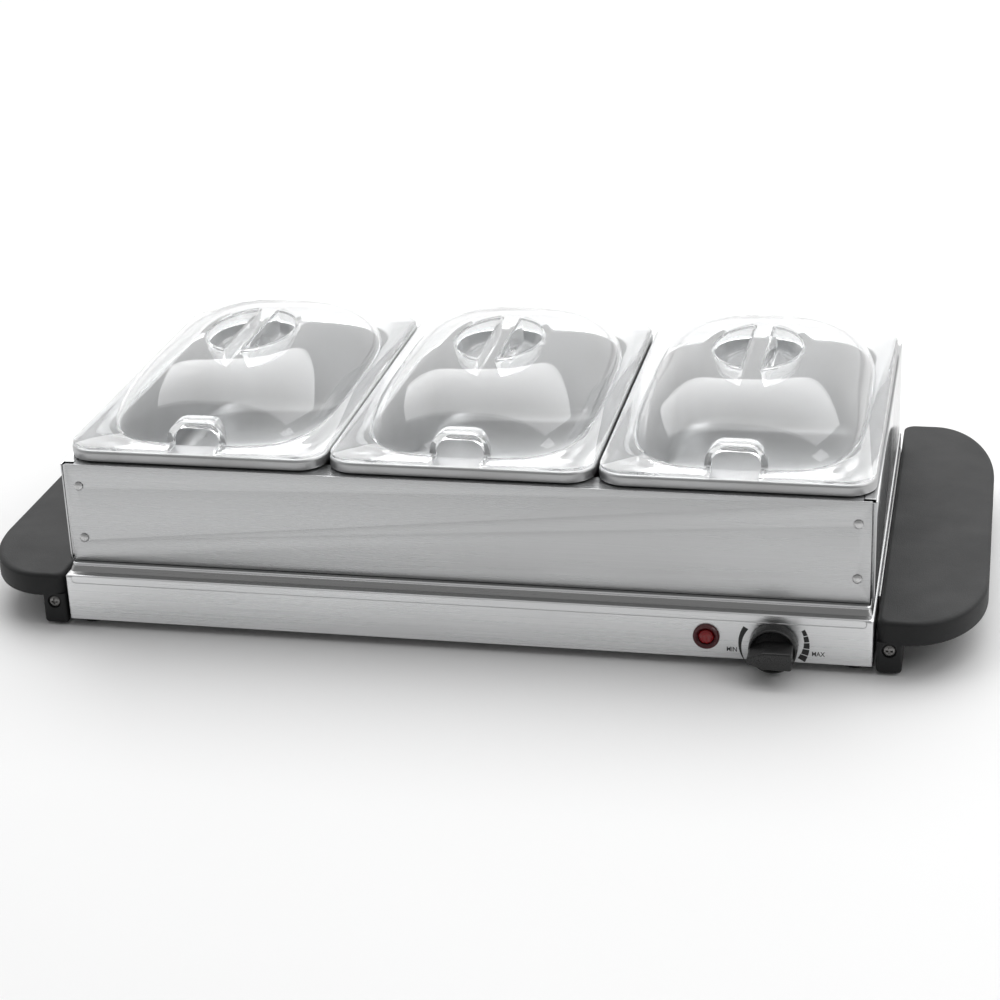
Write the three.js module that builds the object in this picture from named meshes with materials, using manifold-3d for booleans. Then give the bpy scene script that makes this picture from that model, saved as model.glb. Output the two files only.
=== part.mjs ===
// Electric buffet server: a warming base with two end handles, a riveted pan frame that lifts off it,
// three lift-out pans and a clear lid on each pan. Millimetres; +X runs along the length, the control
// panel faces -Y, +Z is up and z = 0 is the table top that the rubber feet stand on.
import * as THREE from "three";
import { mergeVertices } from "three/addons/utils/BufferGeometryUtils.js";
import Module from "manifold-3d";

const wasm = await Module();
wasm.setup();

// ---- driving dimensions ------------------------------------------------------------------------
const GAP = 0.3; // clearance between two pieces that touch
const SHEET = 1.0; // steel sheet

const SKIRT_HALF_X = 276.2;
const SKIRT_FRONT = -164;
const SKIRT_REAR = 169.4;
const SKIRT_BOTTOM = 6;
const LEDGE_Z = 39;
const DECK_HALF_X = 273.1;
const DECK_FRONT = -154.5;
const DECK_REAR = 155.5;
const DECK_Z = 44.7;
const RISER_RUN = 3.5; // how far the riser leans out from the deck's edge

const FRAME_HALF_X = 275.5;
const FRAME_FRONT = -151;
const FRAME_REAR = 152;
const FRAME_MID_Y = (FRAME_FRONT + FRAME_REAR) / 2;
const FRAME_BOTTOM = DECK_Z + GAP;
const FRAME_TOP = 116.5;
const FACE_HALF_X = 272.5; // front and rear sheets, which lap the side sheets' tabs
const TOP_FLANGE = 20;
const SIDE_FLANGE = 8.5;
const HEM = 12;
const TAB = 20;
const RIVET_X = 264;
const RIVET_Z = [62, 100.5];

const PAN_PITCH = 183.3;
const RIM_HALF_X = 90.5;
const RIM_HALF_Y = 146.4;
const RIM_RADIUS = 19;
const RIM_TUCK = 1.2; // how far the bottom of its turned-down edge is drawn in
const RIM_BOTTOM = FRAME_TOP + GAP;
const RIM_TOP = 124.9;
const MOUTH_HALF_X = 75.5;
const MOUTH_HALF_Y = 128;
const MOUTH_RADIUS = 40;
const PAN_FLOOR = 56;
const PAN_DRAFT = 5; // how far the walls lean in from mouth to floor
const PAN_FILLET = 11;

const LID_HALF_X = 89.8;
const LID_HALF_Y = 145.7;
const LID_WALL = 2;
const LID_UNDER = RIM_TOP + GAP;
const LID_TOP = LID_UNDER + LID_WALL;
const DOME_HALF_X = 78.8;
const DOME_HALF_Y = 130.5;
const DOME_MID_Y = FRAME_MID_Y - 1;
const DOME_RISE = 36.1;
const DOME_LEAN_X = 45.2; // how far each side leans in from the foot to the crown
const DOME_LEAN_Y = 76.2;
const DOME_SOFTNESS = 1.4; // above 1, the sides start to lean in nearer the foot
const DOME_SQUARE = [3.75, 2]; // superellipse power of the outline at the foot and at the crown
const DISH = { halfX: 30.5, halfY: 44, y: FRAME_MID_Y + 2.5, depth: 15 }; // oval finger dish
const GRIP_HALF = 7.5;
const NOTCH_HALF = 16.2;
const NOTCH_TOP = 139;
const NOTCH_CORNER = 9.5;
const NOTCH_RIB = 4.5;

const HANDLE_INNER = 278;
const HANDLE_OUTER = 347.5;
const HANDLE_FRONT = -164;
const HANDLE_REAR = 184.5;
const HANDLE_TOP = 38.6;
const HANDLE_UNDER = 22;
const HANDLE_WALL = 3.2;
const LEG_HALF = 8.25;
const LEG_X = HANDLE_INNER + LEG_HALF;
const LEG_DEPTH = 44;
const LEG_BOTTOM = 1.6;
const LEG_WALL = 3;
const SCREW_Z = 17.8;
const SCREW_HEAD = 4.15;
const SCREW_SHANK = 2;
const SCREW_SEAT = 1.9; // depth of the round seat that each handle screw's head sits in

const KNOB_X = 212;
const KNOB_Z = 18;
const KNOB_RADIUS = 16;
const KNOB_FRONT = -190;
const KNOB_SKIRT = 10.6; // length of its round skirt, out to the lip
const KNOB_RECESS = 3.6; // depth of the hollow face inside the lip
const KNOB_GRIP = { halfHeight: 6.2, squareEnd: 13.8, shoulder: 5, point: 15.4, corner: 1.2 };
const NUT_ROOM = 10.5; // radius of the hollow behind it
const LAMP_X = 167.8;
const LAMP_Z = 21.3;
const LAMP_RADIUS = 8.8;
const GLAND_X = 212;
const GLAND_Z = 20;

const FOOT_X = 263.5;
const FOOT_RADIUS = 9;
const FOOT_FRONT = -148;
const FOOT_REAR = 153;
const COVER_BOTTOM = 7;

const CENTRE_Y = 2.75; // moves the whole to bring the middle of its depth, knob included, to y = 0

// ---- materials ---------------------------------------------------------------------------------
const finish = (color, roughness, metalness) =>
  new THREE.MeshStandardMaterial({ color, roughness, metalness });
const brushedSteel = finish(0xb4b5b8, 0.38, 1);
const polishedSteel = finish(0xc9cacc, 0.15, 1);
const plainSteel = finish(0x9a9ca0, 0.5, 1);
const aluminium = finish(0xc4c6c8, 0.4, 1);
const blackPlastic = finish(0x2c2d2e, 0.6, 0);
const darkPlastic = finish(0x25282a, 0.45, 0);
const rubber = finish(0x161616, 0.85, 0);
const redLens = finish(0xa3191f, 0.2, 0);
const redBezel = finish(0x5e1216, 0.35, 0);
const creamPlastic = finish(0xd9d2c0, 0.5, 0);
const brass = finish(0xb5924c, 0.35, 1);
const elementSteel = finish(0x4d4a45, 0.6, 0.8);
const clearPlastic = new THREE.MeshStandardMaterial({
  color: 0xf2f4f5,
  roughness: 0.05,
  metalness: 0,
  transparent: true,
  opacity: 0.3,
});

// ---- solids ------------------------------------------------------------------------------------
function manifoldFrom(positions, triangles) {
  const mesh = new wasm.Mesh({ numProp: 3, vertProperties: positions, triVerts: triangles });
  return new wasm.Manifold(mesh);
}

// A three.js geometry as a closed solid, with degenerate triangles dropped and its faces outward.
function solidOf(geometry) {
  const bare = geometry.index ? geometry.toNonIndexed() : geometry.clone();
  bare.deleteAttribute("normal");
  bare.deleteAttribute("uv");
  const merged = mergeVertices(bare, 1e-4);
  const positions = merged.attributes.position.array;
  const kept = [];
  const corners = merged.index.array;
  for (let i = 0; i < corners.length; i += 3) {
    const [a, b, c] = corners.subarray(i, i + 3);
    if (a !== b && b !== c && c !== a) kept.push(a, b, c);
  }
  const solid = manifoldFrom(positions, new Uint32Array(kept));
  return solid.volume() < 0 ? manifoldFrom(positions, new Uint32Array(kept.reverse())) : solid;
}

const joined = (...solids) => solids.reduce((sum, next) => sum.add(next));
const without = (body, ...cuts) => cuts.reduce((rest, cut) => rest.subtract(cut), body);

function block(x0, x1, y0, y1, z0, z1) {
  const geometry = new THREE.BoxGeometry(x1 - x0, y1 - y0, z1 - z0);
  return solidOf(geometry.translate((x0 + x1) / 2, (y0 + y1) / 2, (z0 + z1) / 2));
}

// A solid of revolution about a line along Y through (x, z); profile is [radius, y] pairs.
function turnedY(profile, x, z, sides) {
  const points = profile.map(([radius, y]) => new THREE.Vector2(radius, y));
  return solidOf(new THREE.LatheGeometry(points, sides).translate(x, 0, z));
}

// The same about a vertical line through (x, y); profile is [radius, z] pairs.
function turnedZ(profile, x, y, sides) {
  const points = profile.map(([radius, z]) => new THREE.Vector2(radius, z));
  return solidOf(new THREE.LatheGeometry(points, sides).rotateX(Math.PI / 2).translate(x, y, 0));
}

const rodY = (radius, y0, y1, x, z, sides = 24) =>
  turnedY([[0, y0], [radius, y0], [radius, y1], [0, y1]], x, z, sides);
const rodZ = (radius, z0, z1, x, y, sides = 24) =>
  turnedZ([[0, z0], [radius, z0], [radius, z1], [0, z1]], x, y, sides);

// A closed solid through rings of points, lowest ring first, each ring anticlockwise from above.
function loft(rings) {
  const count = rings[0].length;
  const points = rings.flat();
  const triangles = [];
  rings.slice(1).forEach((_, level) => {
    for (let k = 0; k < count; k++) {
      const low = level * count + k;
      const lowNext = level * count + ((k + 1) % count);
      triangles.push(low, lowNext, lowNext + count, low, lowNext + count, low + count);
    }
  });
  const middle = (ring) => [0, 1, 2].map((axis) => ring.reduce((s, p) => s + p[axis], 0) / count);
  const bottom = points.push(middle(rings[0])) - 1;
  const top = points.push(middle(rings.at(-1))) - 1;
  const lastRing = (rings.length - 1) * count;
  for (let k = 0; k < count; k++) {
    const next = (k + 1) % count;
    triangles.push(bottom, next, k, top, lastRing + k, lastRing + next);
  }
  return manifoldFrom(new Float32Array(points.flat()), new Uint32Array(triangles));
}

// ---- outlines ----------------------------------------------------------------------------------
// A rectangle with round corners at height z, as a ring for loft.
function roundedRing(x0, x1, y0, y1, radius, z, steps) {
  const corners = [
    [x1 - radius, y0 + radius, -90],
    [x1 - radius, y1 - radius, 0],
    [x0 + radius, y1 - radius, 90],
    [x0 + radius, y0 + radius, 180],
  ];
  return corners.flatMap(([x, y, start]) =>
    Array.from({ length: steps + 1 }, (_, i) => {
      const angle = THREE.MathUtils.degToRad(start + (90 * i) / steps);
      return [x + radius * Math.cos(angle), y + radius * Math.sin(angle), z];
    }),
  );
}

const centredRing = (x, y, halfX, halfY, radius, z, steps) =>
  roundedRing(x - halfX, x + halfX, y - halfY, y + halfY, radius, z, steps);

// A superellipse at height z: power 2 is an ellipse, and higher powers are squarer.
function squircleRing(x, y, halfX, halfY, power, z, count) {
  return Array.from({ length: count }, (_, i) => {
    const angle = (2 * Math.PI * (i + 0.5)) / count;
    const along = (value) => Math.sign(value) * Math.abs(value) ** (2 / power);
    return [x + halfX * along(Math.cos(angle)), y + halfY * along(Math.sin(angle)), z];
  });
}

const root = new THREE.Group();

function piece(name, solid, material) {
  const made = solid.getMesh();
  const geometry = new THREE.BufferGeometry();
  geometry.setAttribute("position", new THREE.BufferAttribute(made.vertProperties, 3));
  geometry.setIndex(new THREE.BufferAttribute(made.triVerts, 1));
  const mesh = new THREE.Mesh(geometry.toNonIndexed(), material);
  mesh.geometry.computeVertexNormals();
  mesh.name = name;
  root.add(mesh);
}

const SIDES = [
  ["left", -1],
  ["right", 1],
];
const ENDS = ["front", "rear"];

// ---- warming base ------------------------------------------------------------------------------
// The pressed top: skirts all round, a narrow ledge, a leaning riser and the flat heated deck.
function baseSkin(inset) {
  const drop = inset;
  const skirt = (grow, z) =>
    roundedRing(
      -SKIRT_HALF_X + inset + grow,
      SKIRT_HALF_X - inset - grow,
      SKIRT_FRONT + inset + grow,
      SKIRT_REAR - inset - grow,
      2.4 - inset,
      z,
      3,
    );
  const deck = (run, z) =>
    roundedRing(
      -DECK_HALF_X - run / 2 + inset,
      DECK_HALF_X + run / 2 - inset,
      DECK_FRONT - run + inset,
      DECK_REAR + run - inset,
      3.4 - inset,
      z,
      3,
    );
  const floor = inset ? SKIRT_BOTTOM - 2 : SKIRT_BOTTOM;
  return loft([
    skirt(0, floor),
    skirt(0, LEDGE_Z - 1.2),
    skirt(0.35, LEDGE_Z - 0.4 - drop),
    skirt(1.2, LEDGE_Z - drop),
    deck(RISER_RUN, LEDGE_Z + 0.3 - drop),
    deck(0.9, DECK_Z - 0.9 - drop),
    deck(0.2, DECK_Z - 0.2 - drop),
    deck(-0.9, DECK_Z - drop),
  ]);
}

const panelBore = (radius, x, z) => rodY(radius, SKIRT_FRONT - 2, SKIRT_FRONT + 3, x, z);
piece(
  "base_shell",
  without(
    baseSkin(0),
    baseSkin(SHEET),
    panelBore(5.6, KNOB_X, KNOB_Z),
    panelBore(7.3, LAMP_X, LAMP_Z),
    rodY(6.9, SKIRT_REAR - 3, SKIRT_REAR + 2, GLAND_X, GLAND_Z),
  ),
  brushedSteel,
);

// The steel bottom with two rows of air slots and the foot screws' holes.
const footPlaces = SIDES.flatMap(([side, sign]) => [
  ["front_" + side, sign * FOOT_X, FOOT_FRONT],
  ["rear_" + side, sign * FOOT_X, FOOT_REAR],
]);
const coverRing = (z) =>
  roundedRing(
    -SKIRT_HALF_X + SHEET + GAP,
    SKIRT_HALF_X - SHEET - GAP,
    SKIRT_FRONT + SHEET + GAP,
    SKIRT_REAR - SHEET - GAP,
    2.5,
    z,
    2,
  );
const slotRows = [-90, 90].flatMap((y) => [-200, -120, -40, 40, 120, 200].map((x) => [x, y]));
piece(
  "bottom_cover",
  without(
    loft([coverRing(COVER_BOTTOM), coverRing(COVER_BOTTOM + SHEET)]),
    ...slotRows.map(([x, y]) => block(x - 18, x + 18, y - 2.5, y + 2.5, 5, 10)),
    ...footPlaces.map(([, x, y]) => rodZ(2.3, 5, 10, x, y, 16)),
  ),
  plainSteel,
);

// Feet and their screws; each foot is hollowed from below for the screw's head.
function phillips(head, depth, shank, length) {
  const profile = [
    [0, 0],
    [head * 0.55, 0.15],
    [head * 0.88, depth * 0.4],
    [head, depth],
    [shank, depth],
    [shank, length],
    [0, length],
  ];
  const body = turnedY(profile, 0, 0, 14);
  const arm = head * 0.58;
  return without(
    body,
    block(-arm, arm, -1, 1.3, -0.45, 0.45),
    block(-0.45, 0.45, -1, 1.3, -arm, arm),
  );
}
const FOOT_POCKET = 3.6;
for (const [place, x, y] of footPlaces) {
  const foot = turnedZ(
    [
      [2.4, FOOT_POCKET],
      [5, FOOT_POCKET],
      [5, 0],
      [FOOT_RADIUS - 1.6, 0],
      [FOOT_RADIUS - 0.6, 0.7],
      [FOOT_RADIUS, COVER_BOTTOM - GAP],
      [2.4, COVER_BOTTOM - GAP],
      [2.4, FOOT_POCKET],
    ],
    x,
    y,
    18,
  );
  piece("rubber_foot_" + place, foot, rubber);
  const screw = phillips(3.9, 2, 2, 13).rotate([90, 0, 0]);
  piece("foot_screw_" + place, screw.translate([x, y, FOOT_POCKET - GAP - 2]), plainSteel);
}

// ---- heater under the deck ---------------------------------------------------------------------
const TRAY = { x: 230, y0: -112, y1: 113, floor: 30, top: DECK_Z - SHEET - GAP };
const ELEMENT_Z = 38.6;
const ELEMENT_RADIUS = 3.2;
const ELEMENT_ROWS = [-84, -28, 28, 84];
const elementExit = (y) => block(TRAY.x - 4, TRAY.x + 4, y - 4.2, y + 4.2, 34, 50);
piece(
  "heat_reflector",
  without(
    block(-TRAY.x, TRAY.x, TRAY.y0, TRAY.y1, TRAY.floor, TRAY.top),
    block(
      -TRAY.x + SHEET,
      TRAY.x - SHEET,
      TRAY.y0 + SHEET,
      TRAY.y1 - SHEET,
      TRAY.floor + SHEET,
      TRAY.top + 2,
    ),
    elementExit(ELEMENT_ROWS[0]),
    elementExit(ELEMENT_ROWS.at(-1)),
  ),
  aluminium,
);

// One sheathed rod folded into four long rows, with both cold ends out of the tray's right wall.
function elementPath() {
  const turn = (ELEMENT_ROWS[1] - ELEMENT_ROWS[0]) / 2;
  const cold = 252;
  const reach = 190;
  const path = new THREE.CurvePath();
  let from = new THREE.Vector3(cold, ELEMENT_ROWS[0], ELEMENT_Z);
  ELEMENT_ROWS.forEach((y, row) => {
    const heading = row % 2 ? 1 : -1;
    const last = row === ELEMENT_ROWS.length - 1;
    const to = new THREE.Vector3(last ? cold : heading * reach, y, ELEMENT_Z);
    path.add(new THREE.LineCurve3(from, to));
    if (last) return;
    const bulge = new THREE.Vector3(heading * turn * 1.3, 0, 0);
    const next = new THREE.Vector3(to.x, ELEMENT_ROWS[row + 1], ELEMENT_Z);
    path.add(
      new THREE.CubicBezierCurve3(to, to.clone().add(bulge), next.clone().add(bulge), next),
    );
    from = next;
  });
  return path;
}
const rodSection = new THREE.Shape().absarc(0, 0, ELEMENT_RADIUS, 0, 2 * Math.PI);
piece(
  "heating_element",
  solidOf(
    new THREE.ExtrudeGeometry(rodSection, {
      extrudePath: elementPath(),
      steps: 60,
      curveSegments: 3,
      bevelEnabled: false,
    }),
  ),
  elementSteel,
);
for (const [side, sign] of SIDES) {
  const x = sign * 120;
  const strapTop = ELEMENT_Z - ELEMENT_RADIUS - GAP;
  piece(
    "element_strap_" + side,
    joined(
      block(x - 7, x + 7, -101, 101, strapTop - 1.2, strapTop),
      block(x - 7, x + 7, -101, -99.8, strapTop - 1.2, TRAY.top),
      block(x - 7, x + 7, 99.8, 101, strapTop - 1.2, TRAY.top),
    ),
    plainSteel,
  );
}
piece(
  "thermal_fuse",
  joined(rodY(3.2, -14, 14, -248, 38), block(-250, -246, -6, 6, 38, TRAY.top)),
  aluminium,
);
piece(
  "terminal_block",
  without(
    block(218, 250, 120, 140, COVER_BOTTOM + SHEET + GAP, 23),
    ...[224, 234, 244].map((x) => rodZ(2.6, 15, 25, x, 130, 12)),
  ),
  creamPlastic,
);

// ---- controls ----------------------------------------------------------------------------------
const PANEL_BACK = SKIRT_FRONT + SHEET + GAP;
const SHAFT_RADIUS = 3;
const BUSH_RADIUS = 5.2;
const BUSH_FRONT = SKIRT_FRONT - 3;
piece(
  "thermostat_body",
  without(
    joined(
      block(KNOB_X - 15, KNOB_X + 15, PANEL_BACK, -141, 9, 29),
      rodY(BUSH_RADIUS, BUSH_FRONT, PANEL_BACK + 2, KNOB_X, KNOB_Z),
    ),
    rodY(SHAFT_RADIUS + GAP, BUSH_FRONT - 1, -150, KNOB_X, KNOB_Z),
  ),
  creamPlastic,
);
const nutOutline = rodY(8.1, SKIRT_FRONT - GAP - 2, SKIRT_FRONT - GAP, KNOB_X, KNOB_Z, 6);
const nutBore = rodY(BUSH_RADIUS + GAP, -175, -160, KNOB_X, KNOB_Z);
piece("thermostat_nut", without(nutOutline, nutBore), brass);
piece(
  "thermostat_shaft",
  rodY(SHAFT_RADIUS, KNOB_FRONT + 4.5, -150 - GAP, KNOB_X, KNOB_Z),
  plainSteel,
);

// The knob: a round skirt with a raised lip, a bar to hold that is square at one end and pointed at
// the other, and a hollow for the nut.
const KNOB_BACK = SKIRT_FRONT - 0.8;
const KNOB_LIP = KNOB_BACK - KNOB_SKIRT;
function knobGrip() {
  const { halfHeight, squareEnd, shoulder, point, corner } = KNOB_GRIP;
  const level = (y, shrink) => {
    const high = halfHeight - shrink;
    const square = squareEnd - shrink;
    const tip = shrink - point;
    const outline = [
      [square, -high + corner],
      [square, high - corner],
      [square - corner, high],
      [-shoulder, high],
      [tip + 2, 2.6],
      [tip, 0.8],
      [tip, -0.8],
      [tip + 2, -2.6],
      [-shoulder, -high],
      [square - corner, -high],
    ];
    return outline.map(([across, up]) => [across, up, -y]);
  };
  return loft([
    level(KNOB_LIP + KNOB_RECESS + 1.4, 0),
    level(KNOB_FRONT + 1.2, 0.15),
    level(KNOB_FRONT + 0.3, 0.6),
    level(KNOB_FRONT, 1.3),
  ])
    .rotate([90, 0, 0])
    .translate([KNOB_X, 0, KNOB_Z]);
}
const knobSkirt = turnedY(
  [
    [0, KNOB_BACK],
    [KNOB_RADIUS, KNOB_BACK],
    [KNOB_RADIUS - 0.2, KNOB_LIP + 1.2],
    [KNOB_RADIUS - 0.6, KNOB_LIP + 0.3],
    [KNOB_RADIUS - 1.2, KNOB_LIP],
    [KNOB_RADIUS - 1.8, KNOB_LIP + 0.4],
    [KNOB_RADIUS - 2.6, KNOB_LIP + 2.2],
    [KNOB_RADIUS - 5, KNOB_LIP + KNOB_RECESS],
    [0, KNOB_LIP + KNOB_RECESS],
  ],
  KNOB_X,
  KNOB_Z,
  30,
);
piece(
  "control_knob",
  without(
    joined(knobSkirt, knobGrip()),
    rodY(NUT_ROOM, KNOB_BACK - 4, KNOB_BACK + 2, KNOB_X, KNOB_Z),
    rodY(SHAFT_RADIUS + GAP, KNOB_FRONT + 4.2, KNOB_BACK + 1, KNOB_X, KNOB_Z),
  ),
  darkPlastic,
);

// The pilot lamp: a stepped bezel through the panel, a domed lens in it and the lamp behind.
const BEZEL_BACK = SKIRT_FRONT - GAP;
const LENS_RADIUS = 5.3;
const BARREL_BACK = -151;
piece(
  "lamp_bezel",
  turnedY(
    [
      [LENS_RADIUS + GAP, BARREL_BACK],
      [7, BARREL_BACK],
      [7, BEZEL_BACK],
      [LAMP_RADIUS, BEZEL_BACK],
      [LAMP_RADIUS, BEZEL_BACK - 1.2],
      [LAMP_RADIUS - 1, BEZEL_BACK - 2.3],
      [LENS_RADIUS + 1.2, BEZEL_BACK - 2.3],
      [LENS_RADIUS + GAP, BEZEL_BACK - 1.3],
      [LENS_RADIUS + GAP, BARREL_BACK],
    ],
    LAMP_X,
    LAMP_Z,
    24,
  ),
  redBezel,
);
piece(
  "lamp_lens",
  turnedY(
    [
      [0, BEZEL_BACK - 2.9],
      [2.4, BEZEL_BACK - 2.6],
      [4.3, BEZEL_BACK - 1.8],
      [LENS_RADIUS, BEZEL_BACK - 0.4],
      [LENS_RADIUS, BARREL_BACK],
      [0, BARREL_BACK],
    ],
    LAMP_X,
    LAMP_Z,
    18,
  ),
  redLens,
);
piece(
  "lamp_body",
  joined(
    rodY(6.6, BARREL_BACK + GAP, BARREL_BACK + 12, LAMP_X, LAMP_Z),
    block(LAMP_X - 4, LAMP_X - 3.2, BARREL_BACK + 11, BARREL_BACK + 19, LAMP_Z - 3, LAMP_Z + 3),
    block(LAMP_X + 3.2, LAMP_X + 4, BARREL_BACK + 11, BARREL_BACK + 19, LAMP_Z - 3, LAMP_Z + 3),
  ),
  creamPlastic,
);

// The strain relief that the supply cord comes through, in the rear skirt.
const GLAND_FACE = SKIRT_REAR + GAP;
piece(
  "cord_gland",
  turnedY(
    [
      [3.5, 160],
      [6.5, 160],
      [6.5, GLAND_FACE],
      [8.5, GLAND_FACE],
      [8.5, GLAND_FACE + 2.2],
      [5.6, GLAND_FACE + 2.8],
      [5.6, GLAND_FACE + 5],
      [4.9, GLAND_FACE + 5.4],
      [5.3, GLAND_FACE + 8],
      [4.6, GLAND_FACE + 8.4],
      [4.9, GLAND_FACE + 11.5],
      [3.5, GLAND_FACE + 12],
      [3.5, 160],
    ],
    GLAND_X,
    GLAND_Z,
    14,
  ),
  darkPlastic,
);

// ---- handles -----------------------------------------------------------------------------------
// One handle is made on the right; the left one is its mirror image.
const LEG_FRONTS = [HANDLE_FRONT, HANDLE_REAR - LEG_DEPTH];
const CORNERS = { inner: 7, frontX: 50, frontY: 74, rearX: 44, rearY: 96 };

// The plate's outline, shrunk by inset, anticlockwise from its inner front corner.
function plateRing(inset, z) {
  const x0 = HANDLE_INNER + inset;
  const x1 = HANDLE_OUTER - inset;
  const y0 = HANDLE_FRONT + inset;
  const y1 = HANDLE_REAR - inset;
  const arc = (x, y, radiusX, radiusY, start, steps) =>
    Array.from({ length: steps + 1 }, (_, i) => {
      const angle = THREE.MathUtils.degToRad(start + (90 * i) / steps);
      return [x + radiusX * Math.cos(angle), y + radiusY * Math.sin(angle), z];
    });
  const { inner, frontX, frontY, rearX, rearY } = CORNERS;
  return [
    ...arc(x0 + inner, y0 + inner, inner, inner, 180, 2),
    ...arc(x1 - frontX, y0 + frontY, frontX, frontY, -90, 8),
    ...arc(x1 - rearX, y1 - rearY, rearX, rearY, 0, 8),
    ...arc(x0 + inner, y1 - inner, inner, inner, 90, 2),
  ];
}

function legBlock(y0) {
  const ring = (inset, z) =>
    roundedRing(
      HANDLE_INNER + inset,
      HANDLE_INNER + 2 * LEG_HALF - inset,
      y0 + inset,
      y0 + LEG_DEPTH - inset,
      2,
      z,
      2,
    );
  return loft([ring(1.6, LEG_BOTTOM), ring(0.4, LEG_BOTTOM + 1.4), ring(0, 4), ring(0, 24)]);
}

// The leg's hollow opens towards the handle's middle, where the bracket's tongue comes in.
function legHollow(end) {
  const [front, rear] = LEG_FRONTS;
  const spans = {
    front: [front + LEG_WALL, front + LEG_DEPTH + 1],
    rear: [rear - 1, HANDLE_REAR - LEG_WALL],
  };
  const [y0, y1] = spans[end];
  const x0 = HANDLE_INNER + LEG_WALL;
  return block(x0, x0 + 2 * LEG_HALF - 2 * LEG_WALL, y0, y1, LEG_BOTTOM + 3, HANDLE_UNDER);
}

const legFace = { front: HANDLE_FRONT, rear: HANDLE_REAR };
const outward = { front: -1, rear: 1 };
function screwHole(end) {
  const face = legFace[end];
  const out = outward[end];
  const span = (a, b) => [Math.min(a, b), Math.max(a, b)];
  return joined(
    rodY(SCREW_HEAD + 0.5, ...span(face + out, face - out * SCREW_SEAT), LEG_X, SCREW_Z, 18),
    rodY(SCREW_SHANK + GAP, ...span(face + out, face - out * 6), LEG_X, SCREW_Z, 12),
  );
}

// The plate is a moulding, open below, with three ribs and solid over both legs.
function plateHollow() {
  const top = HANDLE_TOP - HANDLE_WALL;
  const hollow = loft([
    plateRing(HANDLE_WALL, HANDLE_UNDER - 1),
    plateRing(HANDLE_WALL, top - 1.5),
    plateRing(HANDLE_WALL + 1.5, top),
  ]);
  const keep = (y0, y1, x1) => block(HANDLE_INNER, x1, y0, y1, HANDLE_UNDER - 2, HANDLE_TOP);
  const pastLeg = HANDLE_INNER + 2 * LEG_HALF + 1.5;
  const ribs = [-55, 10, 75].map((y) => keep(y - 1.25, y + 1.25, HANDLE_OUTER));
  const legTops = LEG_FRONTS.map((y) => keep(y - 1.5, y + LEG_DEPTH + 1.5, pastLeg));
  return without(hollow, ...ribs, ...legTops);
}

function handleSolid() {
  const plate = loft([
    plateRing(2, HANDLE_UNDER),
    plateRing(0.5, HANDLE_UNDER + 1.5),
    plateRing(0, HANDLE_UNDER + 4),
    plateRing(0, HANDLE_TOP - 3.2),
    plateRing(0.9, HANDLE_TOP - 1),
    plateRing(2.2, HANDLE_TOP - 0.25),
    plateRing(3.6, HANDLE_TOP),
  ]);
  return without(
    joined(without(plate, plateHollow()), ...LEG_FRONTS.map(legBlock)),
    ...ENDS.map(legHollow),
    ...ENDS.map(screwHole),
  );
}

// A steel angle between the skirt and the handle, with a tongue into each leg for its screw.
function bracketSolid() {
  const web = HANDLE_INNER - GAP;
  const flangeTop = HANDLE_UNDER - GAP;
  const flangeUnder = flangeTop - 1.2;
  const clearFront = LEG_FRONTS[0] + LEG_DEPTH + GAP;
  const clearRear = LEG_FRONTS[1] - GAP;
  const tongueX = [HANDLE_INNER + LEG_WALL + GAP, HANDLE_INNER + 2 * LEG_HALF - LEG_WALL - GAP];
  const tab = (end) => {
    const face = legFace[end] - outward[end] * (LEG_WALL + GAP);
    const [y0, y1] = [face, face - outward[end] * 1.5].sort((a, b) => a - b);
    const hole = rodY(SCREW_SHANK + GAP, y0 - 1, y1 + 1, LEG_X, SCREW_Z, 16);
    return without(block(...tongueX, y0, y1, LEG_BOTTOM + 6, flangeTop), hole);
  };
  const tongueFront = legFace.front + LEG_WALL + GAP;
  const tongueRear = legFace.rear - LEG_WALL - GAP;
  return joined(
    block(SKIRT_HALF_X + GAP, web, clearFront, clearRear, 8, 36),
    block(web - 1, HANDLE_INNER + 22, clearFront, clearRear, flangeUnder, flangeTop),
    block(...tongueX, tongueFront, tongueRear, flangeUnder, flangeTop),
    ...ENDS.map(tab),
  );
}

for (const [side, sign] of SIDES) {
  const placed = (solid) => (sign > 0 ? solid : solid.mirror([1, 0, 0]));
  piece("handle_" + side, placed(handleSolid()), blackPlastic);
  piece("end_bracket_" + side, placed(bracketSolid()), plainSteel);
  for (const end of ENDS) {
    const screw = phillips(SCREW_HEAD, SCREW_SEAT - GAP, SCREW_SHANK, 13);
    const turned = end === "front" ? screw : screw.rotate([0, 0, 180]);
    const placedScrew = turned.translate([sign * LEG_X, legFace[end], SCREW_Z]);
    piece(`handle_screw_${side}_${end}`, placedScrew, plainSteel);
  }
}

// ---- pan frame ---------------------------------------------------------------------------------
const mirroredY = (solid) => solid.mirror([0, 1, 0]).translate([0, 2 * FRAME_MID_Y, 0]);
const rivetPlaces = SIDES.flatMap(([side, sign]) =>
  RIVET_Z.map((z, i) => [`${side}_${i ? "upper" : "lower"}`, sign * RIVET_X, z]),
);
const rivetHoles = (y0, y1, keep = () => true) =>
  rivetPlaces.filter(([, x]) => keep(x)).map(([, x, z]) => rodY(1.9, y0, y1, x, z, 12));
const FLANGE_HALF_X = FRAME_HALF_X - SIDE_FLANGE - GAP;

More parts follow.
